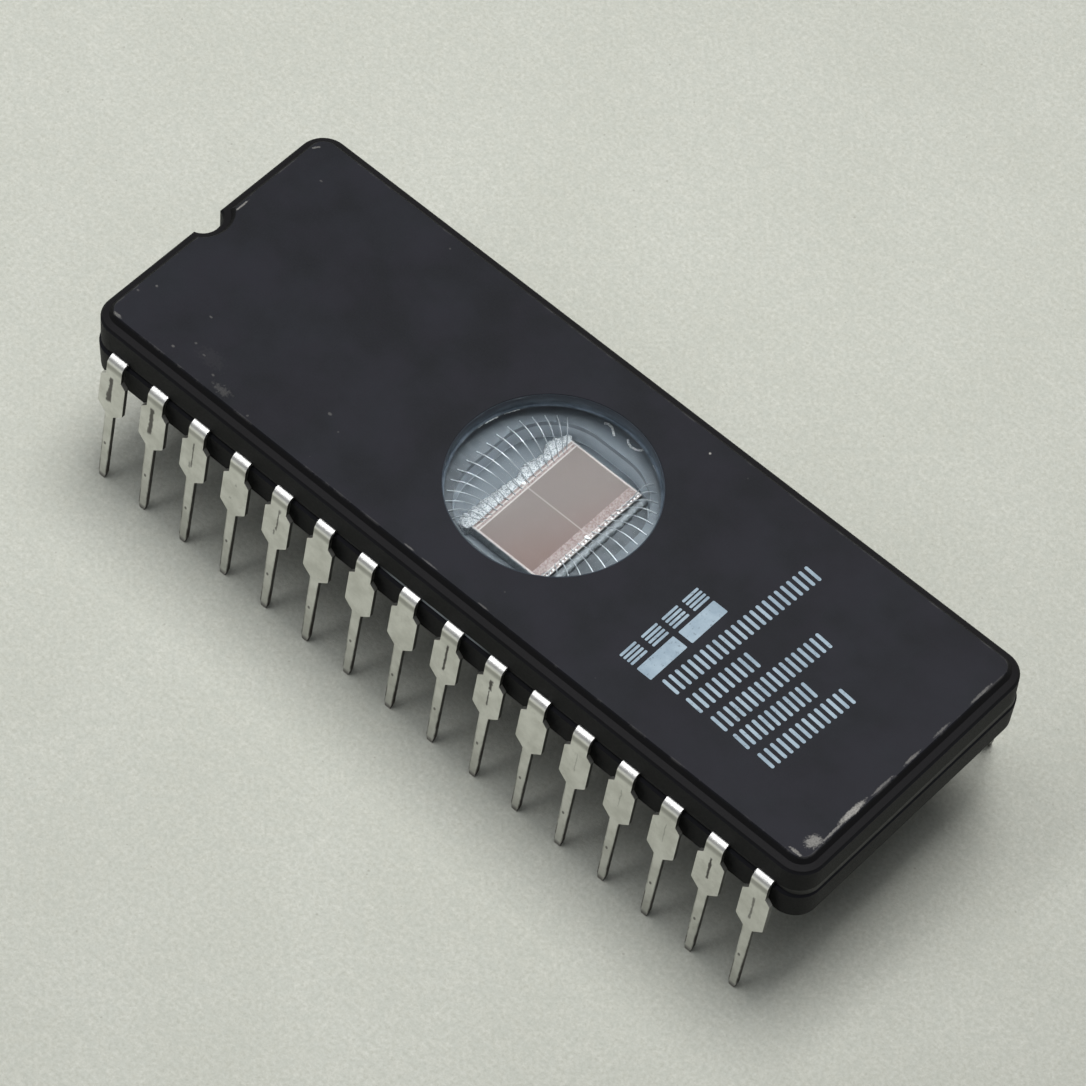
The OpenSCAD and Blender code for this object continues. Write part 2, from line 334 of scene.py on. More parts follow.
class Effects:
    """The shared effects, each built once."""

    def __init__(self) -> None:
        """Builds every group."""
        self.grain = self._grain()
        self.scuff = self._scuff()
        self.outline = self._outline()
        self.specks = self._specks()
        self.rub = self._rub()

    @staticmethod
    def _grain() -> EffectGroup:
        """Builds fine grain and broad mottling.

        Returns:
            The group, with outputs Fine and Mottle.
        """
        group = EffectGroup("grain", {"Place": ORIGIN, "Fine Scale": 9.0, "Mottle Scale": 0.35},
                            ["Fine", "Mottle"])
        g, given = group.graph, group.given
        fine = g.noise(given["Place"], given["Fine Scale"], 4.0, 0.7)
        mottle = g.noise(given["Place"], given["Mottle Scale"], 5.0, 0.6)
        group.give("Fine", g.ramp(fine, 0.25, 0.75, smooth=False))
        group.give("Mottle", g.ramp(mottle, 0.3, 0.7))
        return group

    @staticmethod
    def _scuff() -> EffectGroup:
        """Builds one ragged rubbed or chipped spot.

        Returns:
            The group, with output Mask.
        """
        group = EffectGroup("ragged_spot", {"Place": ORIGIN, "Centre": ORIGIN, "Reach": (1.0, 1.0, 1.0),
                                            "Turn": 0.0, "Ragged": 0.5, "Wobble": 0.5}, ["Mask"])
        g, given = group.graph, group.given
        turned = g.node("VectorRotate", rotation_type="Z_AXIS")
        g.put(turned.inputs["Vector"], g.vector("SUBTRACT", given["Place"], given["Centre"]))
        g.put(turned.inputs["Angle"], given["Turn"])
        away = g.vector("LENGTH", g.vector("DIVIDE", turned.outputs[0], given["Reach"]), out=1)
        lift = g.times(g.minus(given["Wobble"], 0.5), g.times(given["Ragged"], 4.0))
        group.give("Mask", g.ramp(g.plus(away, lift), 1.05, 0.55))
        return group

    @staticmethod
    def _outline() -> EffectGroup:
        """Builds the distance to the outline of a rounded rectangle.

        Returns:
            The group, with output Distance, negative inside.
        """
        group = EffectGroup("outline_distance", {"Place": ORIGIN, "Half Size": (1.0, 1.0, 0.0),
                                                 "Corner": 0.5}, ["Distance"])
        g, given = group.graph, group.given
        corner = given["Corner"]
        from_corner = g.vector("SUBTRACT", g.vector("ABSOLUTE", given["Place"]), given["Half Size"])
        x, y, _ = g.split(from_corner)
        x, y = g.plus(x, corner), g.plus(y, corner)
        squares = [g.math("POWER", g.most(part, 0.0), 2.0) for part in (x, y)]
        outside = g.math("SQRT", g.plus(*squares))
        inside = g.math("MINIMUM", g.most(x, y), 0.0)
        group.give("Distance", g.minus(g.plus(outside, inside), corner))
        return group

    @staticmethod
    def _specks() -> EffectGroup:
        """Builds sparse tiny specks.

        Returns:
            The group, with output Mask.
        """
        group = EffectGroup("specks", {"Place": ORIGIN, "Scale": 1.0, "Size": 0.06, "Share": 0.3}, ["Mask"])
        g, given = group.graph, group.given
        cells = g.node("TexVoronoi", feature="F1")
        for name, value in (("Vector", given["Place"]), ("Scale", given["Scale"]), ("Randomness", 1.0)):
            g.put(cells.inputs[name], value)
        parts = g.node("SeparateColor")
        g.put(parts.inputs[0], cells.outputs["Color"])
        chosen = g.math("LESS_THAN", parts.outputs[0], given["Share"])
        reach = g.times(given["Size"], g.spread(parts.outputs[1], 0.4, 1.4))
        near = g.ramp(g.minus(reach, cells.outputs["Distance"]), -0.01, 0.03)
        group.give("Mask", g.times(chosen, near))
        return group

    @staticmethod
    def _rub() -> EffectGroup:
        """Builds broken wear along an edge.

        Returns:
            The group, with output Mask.
        """
        group = EffectGroup("edge_rub", {"Place": ORIGIN, "Distance": 0.0, "Width": 0.1, "Amount": 0.5,
                                         "Scale": 1.2}, ["Mask"])
        g, given = group.graph, group.given
        coarse = g.noise(given["Place"], given["Scale"], 2.0)
        fine = g.noise(given["Place"], 9.0, 3.0, 0.7)
        near = g.ramp(g.math("DIVIDE", g.size(given["Distance"]), given["Width"]), 1.0, 0.2)
        broken = g.plus(g.times(coarse, 0.7), g.times(fine, 0.3))
        level = g.times(g.minus(1.0, given["Amount"]), 0.8)
        group.give("Mask", g.times(near, g.ramp(g.minus(broken, level), 0.0, 0.12)))
        return group


@dataclass(frozen=True)
class Spot:
    """One ragged spot, in millimetres."""
    x: float
    y: float
    long: float
    wide: float
    strength: float = 0.6
    turn: float = 0.0
    ragged: float = 0.25
    z: float = BODY_TOP


@dataclass(frozen=True)
class BodySizes:
    """Sizes of the ceramic body that its finish needs, in millimetres."""
    top: float = BODY_TOP
    half_l: float = 20.4
    half_w: float = 6.89
    corner: float = 0.6
    cavity_low: float = 6.62
    hollow_high: float = 8.36
    hollow_r: float = 6.9


@dataclass(frozen=True)
class ChipSizes:
    """Sizes of the silicon chip and of the layer that holds it, in millimetres."""
    centre: Point2 = (0.2, 0.16)
    half: Point2 = (2.1, 3.25)
    foot: float = 6.65
    top: float = 7.15


class Finish:
    """Base of the finishes: makes the material and its shader."""

    name = "finish"

    def __init__(self, effects: Effects) -> None:
        """Makes the material and lets the finish fill it in.

        Args:
            effects: The shared effects.
        """
        self.effects = effects
        self.material = bpy.data.materials.new(self.name)
        self.material.use_nodes = True
        tree = self.material.node_tree
        tree.nodes.clear()
        self.g = Graph(tree)
        self.out = self.g.node("OutputMaterial")
        self.shader = self.g.node("BsdfPrincipled")
        self.g.put(self.out.inputs["Surface"], self.shader.outputs[0])
        self.place = self.g.millimetres()
        self.fill()

    def fill(self) -> None:
        """Sets the shader's inputs."""
        raise NotImplementedError

    def set(self, **values: Value) -> None:
        """Sets or links sockets of the shader, with _ for each space in a name."""
        for name, value in values.items():
            self.g.put(self.shader.inputs[name.replace("_", " ")], value)

    def bump(self, height: Socket, strength: float, distance: float) -> None:
        """Feeds a height into the shader's normal.

        Args:
            height: The height value.
            strength: Strength of the bump.
            distance: Height of the relief in millimetres.
        """
        made = self.g.node("Bump")
        made.inputs["Strength"].default_value = strength
        made.inputs["Distance"].default_value = distance * MM
        self.g.put(made.inputs["Height"], height)
        self.g.put(self.shader.inputs["Normal"], made.outputs[0])

    def grain(self, fine: float, mottle: float) -> tuple[Socket, Socket]:
        """Places the shared grain.

        Args:
            fine: Grains per millimetre.
            mottle: Broad patches per millimetre.

        Returns:
            The fine grain and the mottling, each from 0 to 1.
        """
        made = self.effects.grain.use(self.g, Place=self.place, Fine_Scale=fine, Mottle_Scale=mottle)
        return made.outputs["Fine"], made.outputs["Mottle"]

    def axes(self) -> tuple[Socket, Socket, Socket]:
        """Splits the place into X, Y and Z in millimetres."""
        return self.g.split(self.place)

    def facing(self) -> tuple[Socket, Socket, Socket]:
        """Splits the way that the surface faces into X, Y and Z."""
        return self.g.split(self.g.node("TexCoord").outputs["Normal"])

    def from_axis(self) -> Socket:
        """Gives the distance from the window's axis in millimetres."""
        flat = self.g.vector("MULTIPLY", self.place, (1.0, 1.0, 0.0))
        return self.g.vector("LENGTH", flat, out=1)


class CeramicFinish(Finish):
    """Matt blue-black fired ceramic with mottling, pale specks, scuffs and rubbed edges, with painted shade
    on the ledge and on faces that do not face up, and painted light on the hollow's walls.
    """

    name = "dark_ceramic"
    body = BodySizes()
    dark, light = srgb(22, 23, 28), srgb(35, 37, 44)
    plum, grains = srgb(36, 31, 42), srgb(46, 48, 53)
    # Painted shade: the first colour darkens the ledge band, the second turns faces that do not face up near
    # black.
    ledge_tone, side_tone = srgb(24, 23, 24), srgb(9, 9, 10)
    # Painted light: pale colours for the hollow's walls, a dimmer and a lighter one by the way they face.
    wall_dim, wall_lit = srgb(100, 108, 115), srgb(206, 214, 222)
    bare = srgb(198, 196, 190)
    spot_depth = 0.25
    scuffs: tuple[Spot, ...] = (
        Spot(20.02, -5.82, 0.34, 0.42, 0.42, 0.3, 0.55), Spot(20.24, -3.6, 0.17, 0.95, 0.6, 0.0, 0.35),
        Spot(20.3, -4.9, 0.07, 0.9, 0.35, 0.0, 0.5), Spot(20.3, -1.7, 0.07, 0.8, 0.24, 0.0, 0.5),
        Spot(20.3, 0.2, 0.08, 0.6, 0.26, 0.0, 0.5), Spot(20.3, 2.2, 0.07, 0.6, 0.2, 0.0, 0.5),
        Spot(20.32, 4.8, 0.08, 0.8, 0.22, 0.0, 0.5), Spot(19.8, -6.72, 0.35, 0.1, 0.4, 0.0, 0.5),
        Spot(-19.9, -6.8, 0.3, 0.09, 0.26, 0.0, 0.4), Spot(-20.22, 6.2, 0.06, 0.24, 0.3, 0.6, 0.5),
        Spot(-20.26, 1.45, 0.055, 0.5, 0.45, 0.0, 0.4), Spot(-2.2, -6.82, 0.35, 0.05, 0.2),
        Spot(-1.0, -6.84, 0.5, 0.05, 0.16), Spot(2.15, -6.84, 0.35, 0.05, 0.16),
        Spot(-19.78, -4.44, 0.08, 0.07, 0.17), Spot(-20.21, -5.19, 0.08, 0.06, 0.13),
        Spot(-16.95, -6.3, 0.1, 0.07, 0.16), Spot(-16.88, -3.98, 0.1, 0.06, 0.13),
        Spot(-18.72, 4.98, 0.1, 0.06, 0.12), Spot(3.75, 6.06, 0.07, 0.07, 0.6),
        Spot(-16.35, -5.47, 0.08, 0.07, 0.12), Spot(-15.64, -5.69, 0.1, 0.06, 0.12),
        Spot(-14.6, -6.19, 0.1, 0.07, 0.12), Spot(-9.51, -4.1, 0.12, 0.09, 0.15),
        Spot(-13.77, -6.5, 0.55, 0.24, 0.08, 0.0, 0.9), Spot(-15.3, -5.6, 0.8, 0.45, 0.013, 0.0, 0.9),
        Spot(-20.8, -7.2, 0.25, 0.2, 0.3, 0.0, 0.6, 9.15),
    )

    def scuffed(self) -> Value:
        """Builds all scuffs and chips.

        Returns:
            Their mask, or plain 0 where the finish has none.
        """
        g = self.g
        wobble = g.noise(self.place, 7.0, 5.0, 0.75)
        mask: Value = 0.0
        for spot in self.scuffs:
            made = self.effects.scuff.use(
                g, Place=self.place, Centre=(spot.x, spot.y, spot.z), Turn=spot.turn,
                Reach=(spot.long, spot.wide, self.spot_depth), Ragged=spot.ragged, Wobble=wobble)
            mask = g.most(mask, g.times(made.outputs["Mask"], spot.strength))
        return mask

    def hollow_wall(self, z: Socket) -> Socket:
        """Builds the mask of the hollow's walls, which show through the window.

        Args:
            z: Height in millimetres.

        Returns:
            The mask.
        """
        g, b = self.g, self.body
        inside = g.ramp(self.from_axis(), b.hollow_r + 0.2, b.hollow_r)
        return g.times(inside, g.ramp(z, b.hollow_high + 0.03, b.hollow_high),
                       g.ramp(z, b.cavity_low - 0.1, b.cavity_low - 0.02))

    def fill(self) -> None:
        """Builds colour, roughness and grain."""
        g, b = self.g, self.body
        _, _, z = self.axes()
        facing_x, facing_y, facing_z = self.facing()
        fine, mottle = self.grain(11.0, 0.22)
        base = g.mix(mottle, self.dark, self.light)
        base = g.tint(base, self.plum, g.ramp(g.noise(self.place, 0.45, 2.0), 0.35, 0.65), 0.3)
        base = g.tint(base, self.grains, fine, 0.5)
        high = g.ramp(z, b.top - 0.1, b.top - 0.02)
        # Painted shade: the ledge band just below the top is tinted darker.
        ledge = g.times(g.ramp(z, b.top - 0.5, b.top - 0.34), g.minus(1.0, high))
        base = g.tint(base, self.ledge_tone, ledge, 0.85)
        # Painted shade: faces that do not face up are tinted near black.
        base = g.tint(base, self.side_tone, g.ramp(facing_z, 0.9, 0.45), 0.85)
        # Painted light: the hollow's walls, which show through the window, get a pale colour, lightest where
        # they face +X or -Y.
        lit = g.ramp(g.minus(facing_x, facing_y), -0.6, 0.7)
        base = g.tint(base, g.mix(lit, self.wall_dim, self.wall_lit), self.hollow_wall(z))

        rim = self.effects.outline.use(g, Place=self.place, Half_Size=(b.half_l, b.half_w, 0.0),
                                       Corner=b.corner)
        rub = self.effects.rub.use(g, Place=self.place, Distance=rim.outputs["Distance"],
                                   Width=0.07, Amount=0.36, Scale=0.9)
        specks = self.effects.specks.use(g, Place=self.place, Scale=0.9, Size=0.045, Share=0.3)
        worn = g.times(rub.outputs["Mask"], high, 0.06)
        worn = g.most(worn, g.times(specks.outputs["Mask"], 0.09))
        broken = g.ramp(g.noise(self.place, 13.0, 3.0, 0.7), 0.36, 0.6, 0.6, 1.0)
        worn = g.most(worn, g.times(self.scuffed(), broken))
        self.set(Base_Color=g.mix(worn, base, self.bare))
        self.set(Roughness=g.spread(fine, 0.5, 0.64), Specular_IOR_Level=0.12)
        self.bump(g.plus(g.noise(self.place, 14.0, 3.0, 0.65), g.times(worn, -0.6)), 0.35, 0.02)


class BareCeramicFinish(CeramicFinish):
    """The same ceramic without scuffs, for the base."""

    name = "dark_ceramic_base"
    scuffs = ()


@dataclass(frozen=True)
class Scar:
    """A dark scratch through the plating of one near-row lead, in millimetres."""
    lead: int
    across: float
    low: float
    high: float
    half_w: float
    strength: float = 0.9


class TinFinish(Finish):
    """Pale grey satin tin plate with dark test-clip scratches, a painted highlight on the bends with painted
    shade below it, painted shade on the side faces, and darker tips.
    """

    name = "tin_plate"
    pitch = 2.54
    pin_low, pin_high, pin_top = 0.22, 0.25, 4.24
    near_y, body_side = -7.0, 7.3
    fade = 0.15
    dot_at, dot_reach = (-0.05, 2.25), (0.09, 0.12)
    plate_dark, plate_light = srgb(204, 204, 197), srgb(226, 226, 220)
    # The second colour is a painted highlight for the bends, the third painted shade just below them.
    dull_tone, bend_tone, shade_tone = srgb(178, 176, 168), srgb(252, 252, 250), srgb(126, 125, 119)
    # The first colour is painted shade for the side faces; the second darkens the scratches, the pin marks
    # and the tips.
    cut_tone, scratch_tone = srgb(40, 38, 36), srgb(52, 44, 38)
    # Painted shade towards the near side and painted light towards the far side of the fingers; the last
    # colour is a painted highlight for their upright faces.
    finger_near, finger_far = srgb(52, 59, 66), srgb(100, 108, 115)
    finger_grain, finger_edge = srgb(112, 120, 127), srgb(150, 158, 166)
    scars: tuple[Scar, ...] = (
        Scar(1, -0.1, 5.0, 6.7, 0.14, 0.85), Scar(1, -0.2, 4.95, 5.7, 0.12, 0.8),
        Scar(2, -0.1, 5.0, 6.8, 0.15, 0.85), Scar(2, -0.18, 4.95, 5.5, 0.12, 0.7),
        Scar(3, -0.06, 5.0, 6.75, 0.045, 0.7), Scar(3, -0.16, 4.9, 5.4, 0.07, 0.45),
        Scar(4, 0.02, 6.0, 6.25, 0.08, 0.4), Scar(4, -0.2, 5.0, 5.25, 0.1, 0.35),
        Scar(5, 0.06, 5.3, 6.8, 0.05, 0.7), Scar(5, -0.06, 4.95, 5.4, 0.06, 0.6),
        Scar(5, 0.1, 6.5, 6.85, 0.1, 0.5), Scar(9, 0.0, 4.95, 6.8, 0.08), Scar(10, 0.03, 6.0, 6.8, 0.11),
        Scar(10, 0.0, 4.95, 6.1, 0.05, 0.8), Scar(12, 0.0, 5.2, 6.5, 0.03, 0.3),
        Scar(13, 0.02, 5.2, 6.5, 0.03, 0.3), Scar(14, 0.0, 5.2, 6.6, 0.03, 0.3),
        Scar(15, 0.0, 5.15, 6.7, 0.08), Scar(16, -0.05, 4.8, 6.4, 0.07, 0.6),
    )

    def scratches(self, index: Socket, local: Socket, z: Socket) -> Value:
        """Builds the dark scratches of the near row.

        Args:
            index: Number of the lead's place in its row, from 0.
            local: Place across the lead in millimetres.
            z: Height in millimetres.

        Returns:
            The mask of all scratches, or plain 0 where the finish has none.
        """
        g = self.g
        across = g.plus(local, g.times(g.minus(g.noise(self.place, 3.0, 4.0, 0.65), 0.5), 0.22))
        dark: Value = 0.0
        for scar in self.scars:
            side = g.ramp(g.size(g.minus(across, scar.across)), scar.half_w, scar.half_w * 0.5)
            ends = g.times(g.ramp(z, scar.low, scar.low + self.fade),
                           g.ramp(z, scar.high, scar.high - self.fade))
            this = g.math("COMPARE", index, float(scar.lead - 1), 0.25)
            dark = g.most(dark, g.times(g.times(side, ends), g.times(this, scar.strength)))
        return dark

    def pin_marks(self, local: Socket, z: Socket) -> Socket:
        """Builds the dark rails and the small dot on each pin.

        Args:
            local: Place across the lead in millimetres.
            z: Height in millimetres.

        Returns:
            The mask of both.
        """
        g = self.g
        half = g.ramp(z, 0.0, self.pin_top, self.pin_low, self.pin_high, smooth=False)
        inset = g.minus(half, g.size(local))
        streaky = g.ramp(g.noise(self.place, 1.5, 3.0), 0.35, 0.6, 0.3, 1.0)
        rail = g.times(g.times(g.ramp(inset, 0.075, 0.015), g.ramp(z, self.pin_top, self.pin_top - 0.3)),
                       g.times(streaky, g.ramp(z, 3.6, 0.4, 0.3, 0.95)))
        (across, height), (reach_across, reach_up) = self.dot_at, self.dot_reach
        at = g.node("CombineXYZ")
        g.put(at.inputs[0], g.math("DIVIDE", g.minus(local, across), reach_across))
        g.put(at.inputs[2], g.math("DIVIDE", g.minus(z, height), reach_up))
        dot = g.times(g.ramp(g.vector("LENGTH", at.outputs[0], out=1), 1.0, 0.5), 0.75)
        return g.most(rail, dot)

    def finger(self, y: Socket, fine: Socket, facing_z: Socket) -> Socket:
        """Builds the duller tone of the fingers inside the seal, with painted shade towards the near side,
        painted light towards the far side and a painted highlight on upright faces.

        Args:
            y: Place across the body in millimetres.
            fine: The fine grain.
            facing_z: How far the surface faces up.

        Returns:
            The colour.
        """
        g = self.g
        # Painted shade and light: darker towards the near side, lighter towards the far side.
        tone = g.mix(g.ramp(y, -3.0, 2.5), self.finger_near, self.finger_far)
        tone = g.tint(tone, self.finger_grain, fine, 0.4)
        # Painted highlight: upright faces turn lighter.
        return g.mix(g.ramp(g.size(facing_z), 0.7, 0.4), tone, self.finger_edge)

    def fill(self) -> None:
        """Builds plating, scratches, pin marks, darker tips, the painted highlight and shade at the bends,
        painted shade on the side faces and the fingers inside the seal.
        """
        g = self.g
        x, y, z = self.axes()
        facing_x, _, facing_z = self.facing()
        shifted = g.plus(x, 8.0 * self.pitch)
        index = g.math("FLOOR", g.math("DIVIDE", shifted, self.pitch))
        local = g.minus(shifted, g.times(g.plus(index, 0.5), self.pitch))
        near = g.math("LESS_THAN", y, self.near_y)
        dark = g.times(g.most(self.scratches(index, local, z), self.pin_marks(local, z)), near)
        # Darker at the tips, over the lowest 0.35 mm of every lead.
        dark = g.most(dark, g.times(g.ramp(z, 0.35, 0.05), 0.7))

        fine, mottle = self.grain(8.0, 1.1)
        plate = g.mix(mottle, self.plate_dark, self.plate_light)
        plate = g.tint(plate, self.dull_tone, g.ramp(g.noise(self.place, 2.4, 4.0, 0.7), 0.56, 0.72), 0.3)
        # Painted highlight: the bends turn near white, with painted shade just below them.
        plate = g.mix(g.ramp(z, 7.36, 7.5), plate, self.bend_tone)
        below_bend = g.times(g.ramp(z, 6.95, 7.2), g.ramp(z, 7.42, 7.3))
        plate = g.tint(plate, self.shade_tone, below_bend, 0.6)
        # Painted shade: faces turned along X are darkened.
        plate = g.tint(plate, self.cut_tone, g.ramp(g.size(facing_x), 0.55, 0.9), 0.8)
        inner = g.times(g.ramp(g.size(y), self.body_side, self.body_side - 0.2),
                        g.ramp(self.from_axis(), 14.0, 7.0))
        plate = g.mix(inner, plate, self.finger(y, fine, facing_z))
        self.set(Base_Color=g.mix(dark, plate, self.scratch_tone))
        self.set(Metallic=g.times(g.spread(dark, 0.82, 0.2), g.spread(inner, 1.0, 0.2)))
        self.set(Roughness=g.plus(g.spread(fine, 0.3, 0.42), g.times(g.most(dark, inner), 0.25)))
        self.bump(g.minus(g.noise(self.place, 7.0, 3.0), dark), 0.3, 0.012)


class PlainTinFinish(TinFinish):
    """The same plating without scratches, for the far row."""

    name = "tin_plate_far"
    scars = ()


class SealFinish(Finish):
    """Dark solder glass, grey-blue where it shows inside the window, with painted shade and light across it
    and a painted highlight on faces that do not face up.
    """

    name = "seal_glass"
    outer = srgb(24, 24, 25)
    # Painted shade towards the near side and painted light towards the far side of the glass inside the
    # window.
    near, far = srgb(50, 57, 64), srgb(98, 106, 113)
    # The second colour is a painted highlight for faces that do not face up.
    patches, edge = srgb(116, 124, 130), srgb(150, 158, 166)

    def fill(self) -> None:
        """Builds the colour, lighter inside the window, with painted shade towards the near side, painted
        light towards the far side and a painted highlight on faces that do not face up.
        """
        g = self.g
        _, y, _ = self.axes()
        _, _, facing_z = self.facing()
        fine, mottle = self.grain(6.0, 0.5)
        # Painted shade and light: darker towards the near side, lighter towards the far side.
        glass = g.mix(g.ramp(y, -3.0, 2.5), self.near, self.far)
        glass = g.tint(glass, self.patches, mottle, 0.25)
        # Painted highlight: faces that do not face up turn lighter.
        glass = g.mix(g.ramp(facing_z, 0.7, 0.4), glass, self.edge)
        inner = g.ramp(self.from_axis(), 8.2, 7.6)
        self.set(Base_Color=g.mix(inner, self.outer, glass))
        self.set(Roughness=g.spread(fine, 0.4, 0.55), Specular_IOR_Level=0.3)
        self.bump(g.noise(self.place, 3.0, 2.0), 0.2, 0.02)


class WindowFinish(Finish):
    """Clear glass with a faint haze."""

    name = "window_glass"

    def fill(self) -> None:
        """Builds the glass and lets lamp light through it."""
        g = self.g
        haze = g.ramp(g.noise(self.place, 1.2, 4.0), 0.45, 0.75, 0.01, 0.05)
        self.set(Base_Color=(0.93, 0.96, 0.97), Transmission_Weight=1.0, IOR=1.49, Roughness=haze)
        clear = g.node("BsdfTransparent")
        clear.inputs[0].default_value = (0.93, 0.95, 0.96, 1.0)
        both = g.node("MixShader")
        g.put(both.inputs[0], g.node("LightPath").outputs["Is Shadow Ray"])
        g.put(both.inputs[1], self.shader.outputs[0])
        g.put(both.inputs[2], clear.outputs[0])
        g.put(self.out.inputs["Surface"], both.outputs[0])


class SiliconFinish(Finish):
    """Brown-pink polished silicon: two cell fields, pale frame lines and finely mottled margins."""

    name = "silicon"
    chip = ChipSizes()
    notch_margin, plain_margin, side_margin = 0.38, 0.66, 0.1
    lines = (0.03, 0.2, 0.38)
    plain_lines = (0.03, 0.2)
    line_half, line_core = 0.05, 0.02
    pink_notch, pink_plain, pink_grey = srgb(106, 96, 93), srgb(100, 79, 73), srgb(100, 95, 95)
    margin_dark, margin_light = srgb(112, 92, 91), srgb(142, 131, 128)
    line_tone, side_tone = srgb(176, 172, 169), srgb(46, 47, 50)

    def fill(self) -> None:
        """Builds the cell fields, the lines round them and the margins."""
        g = self.g
        x, y, z = self.axes()
        (centre_x, centre_y), (half_l, half_w) = self.chip.centre, self.chip.half
        from_notch = g.minus(x, centre_x - half_l)
        from_plain = g.minus(centre_x + half_l, x)
        mid = g.minus(y, centre_y)
        from_side = g.minus(half_w, g.size(mid))
        fields = g.times(g.ramp(from_notch, self.notch_margin, self.notch_margin + 0.02),
                         g.ramp(from_plain, self.plain_margin, self.plain_margin + 0.02),
                         g.ramp(from_side, self.side_margin, self.side_margin + 0.02))
        pale = g.ramp(from_side, self.side_margin, 0.06)
        for start, places in ((from_notch, self.lines), (from_plain, self.plain_lines)):
            for place in places:
                pale = g.most(pale, g.ramp(g.size(g.minus(start, place)), self.line_half, self.line_core))
        pale = g.most(pale, g.times(g.ramp(g.size(mid), self.line_half, self.line_core), 0.4))
        soft = g.noise(self.place, 0.8, 2.0)
        run = g.ramp(g.minus(x, g.times(y, 0.5)), -1.0, 3.2)
        pink = g.tint(g.mix(run, self.pink_notch, self.pink_plain), self.pink_grey, soft, 0.25)
        mottle = g.ramp(g.noise(self.place, 9.0, 4.0, 0.75), 0.35, 0.65)
        top = g.mix(fields, g.mix(mottle, self.margin_dark, self.margin_light), pink)
        top = g.tint(top, self.line_tone, pale, 0.7)
        flat = g.ramp(z, self.chip.top - 0.03, self.chip.top - 0.01)
        self.set(Base_Color=g.mix(flat, self.side_tone, top), Metallic=0.2)
        self.set(Roughness=g.ramp(soft, 0.3, 0.7, 0.34, 0.44), Specular_IOR_Level=0.3)
        self.bump(g.plus(pale, g.times(mottle, 0.15)), 0.25, 0.008)


class SilverFinish(Finish):
    """Rough silver-filled glass, sparkling on the notch side and dull grey on the other."""

    name = "silver_glass"
    crystals_per_mm = 24.0
    dark, bright = srgb(112, 118, 123), srgb(188, 191, 194)
    dull_dark, dull_light = srgb(112, 118, 122), srgb(142, 148, 152)

    def fill(self) -> None:
        """Builds the lumpy surface with bright grains."""
        g = self.g
        x, _, _ = self.axes()
        crystals = g.node("TexVoronoi", feature="F1")
        g.put(crystals.inputs["Vector"], self.place)
        crystals.inputs["Scale"].default_value = self.crystals_per_mm
        parts = g.node("SeparateColor")
        g.put(parts.inputs[0], crystals.outputs["Color"])
        lumps = g.noise(self.place, 4.0, 4.0, 0.7)
        shine = g.ramp(g.plus(g.times(parts.outputs[0], 0.7), g.times(lumps, 0.6)), 0.35, 0.8)
        sparkling = g.mix(shine, self.dark, self.bright)
        dull = g.mix(g.ramp(lumps, 0.3, 0.7), self.dull_dark, self.dull_light)
        self.set(Base_Color=g.mix(g.ramp(x, -1.86, -1.6), sparkling, dull))
        self.set(Metallic=g.spread(shine, 0.3, 0.1), Roughness=g.spread(shine, 0.55, 0.35))
        self.bump(g.plus(shine, lumps), 0.45, 0.03)


class WireFinish(Finish):
    """Drawn aluminium, duller near the chip, with a painted highlight away from it."""

    name = "bond_wire"
    chip = ChipSizes()
    # The second colour is a painted highlight for the part of each wire away from the chip.
    foot, crest, patches = srgb(142, 147, 151), srgb(206, 211, 216), srgb(150, 158, 164)

    def fill(self) -> None:
        """Builds the drawn metal, with a painted highlight away from the chip."""
        g = self.g
        x, _, _ = self.axes()
        fine, mottle = self.grain(20.0, 3.0)
        from_chip, edge = g.size(g.minus(x, self.chip.centre[0])), self.chip.half[0]
        # Painted highlight: the part of each wire away from the chip is brighter and more metallic.
        crest = g.ramp(from_chip, edge + 0.7, edge + 1.3)
        self.set(Base_Color=g.tint(g.mix(crest, self.foot, self.crest), self.patches, mottle, 0.2))
        self.set(Metallic=g.spread(crest, 0.0, 0.35), Roughness=g.spread(fine, 0.35, 0.5))


class FilmFinish(Finish):
    """Dull fired metal film on the cavity floor, with painted shade towards the plain end."""

    name = "cavity_metal"
    # Painted shade: the second colour darkens the film towards the plain end.
    notch_side, plain_side, patches = srgb(88, 96, 103), srgb(50, 57, 63), srgb(112, 120, 127)

    def fill(self) -> None:
        """Builds the dull blue-grey film, with painted shade towards the plain end."""
        g = self.g
        x, _, _ = self.axes()
        fine, mottle = self.grain(9.0, 0.9)
        # Painted shade: darker towards the plain end.
        film = g.mix(g.ramp(x, 0.5, 3.2), self.notch_side, self.plain_side)
        self.set(Base_Color=g.tint(film, self.patches, mottle, 0.3), Metallic=0.1)
        self.set(Roughness=g.spread(fine, 0.45, 0.6))
        self.bump(fine, 0.3, 0.01)


class FusedRimFinish(Finish):
    """Slate-coloured glass where the window has melted into its hole."""

    name = "fused_rim"
    dark, light, lip = srgb(76, 89, 101), srgb(110, 123, 136), srgb(72, 80, 90)

    def fill(self) -> None:
        """Builds the slate tone, darker towards the top."""
        g = self.g
        _, _, z = self.axes()
        streaks = g.noise(g.vector("MULTIPLY", self.place, (1.0, 1.0, 3.0)), 0.8, 4.0, 0.65)
        slate = g.mix(g.ramp(streaks, 0.35, 0.65), self.dark, self.light)
        self.set(Base_Color=g.mix(g.ramp(z, 8.6, 9.4), slate, self.lip))
        self.set(Roughness=g.ramp(streaks, 0.3, 0.7, 0.45, 0.6), Specular_IOR_Level=0.2)
        self.bump(streaks, 0.2, 0.02)


